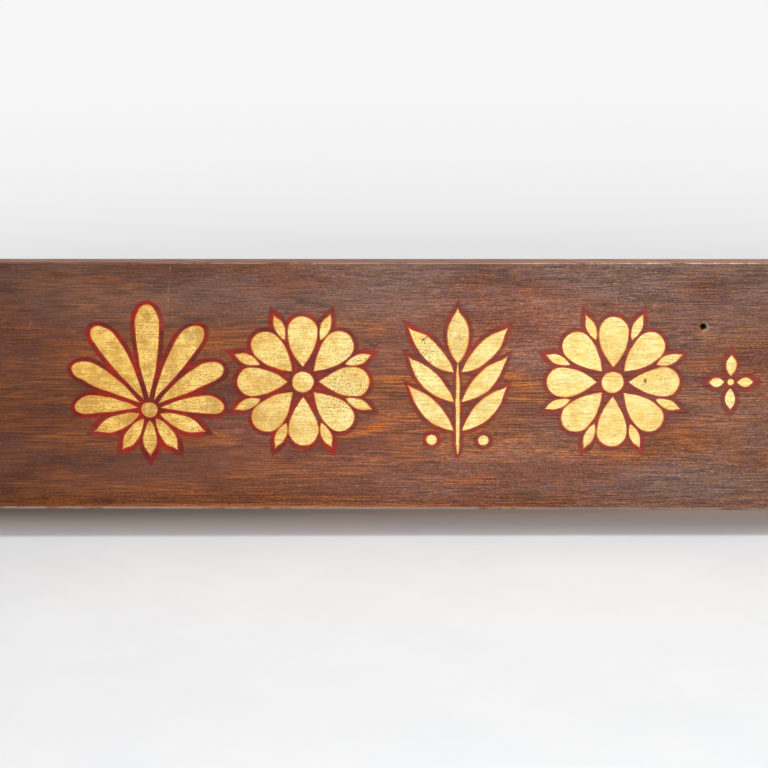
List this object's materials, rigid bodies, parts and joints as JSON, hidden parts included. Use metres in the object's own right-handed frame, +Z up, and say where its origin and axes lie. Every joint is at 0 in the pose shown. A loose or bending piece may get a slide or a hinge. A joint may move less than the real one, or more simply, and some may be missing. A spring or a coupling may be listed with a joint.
{
  "type": "fascia sign board",
  "caption": "Long painted and gilded plank sign with cross battens slot-screwed to its back, and countersunk wall fixings.",
  "frame": {"origin": "middle of the plane that bears on the wall, at half the length and half the height", "axes": "+X along the board to the reader's right, -Y out of the face, +Y into the wall, +Z up"},
  "size_m": [2.44, 0.0413, 0.254],
  "materials": {
    "mahogany": "satin",
    "pellet_wood": "satin",
    "deal": "matte",
    "steel": "matte",
    "gold_leaf": "satin",
    "outline_paint": "satin"
  },
  "bodies": {
    "root": {"name_board": "mahogany", "left_pellet": "pellet_wood", "right_pellet": "pellet_wood", "batten_1": "deal", "batten_1_washer_1": "steel", "batten_1_screw_1": "steel", "batten_1_washer_2": "steel", "batten_1_screw_2": "steel", "batten_1_washer_3": "steel", "batten_1_screw_3": "steel", "batten_2": "deal", "batten_2_washer_1": "steel", "batten_2_screw_1": "steel", "batten_2_washer_2": "steel", "batten_2_screw_2": "steel", "batten_2_washer_3": "steel", "batten_2_screw_3": "steel", "batten_3": "deal", "batten_3_washer_1": "steel", "batten_3_screw_1": "steel", "batten_3_washer_2": "steel", "batten_3_screw_2": "steel", "batten_3_washer_3": "steel", "batten_3_screw_3": "steel", "batten_4": "deal", "batten_4_washer_1": "steel", "batten_4_screw_1": "steel", "batten_4_washer_2": "steel", "batten_4_screw_2": "steel", "batten_4_washer_3": "steel", "batten_4_screw_3": "steel"}
  },
  "joints": []
}
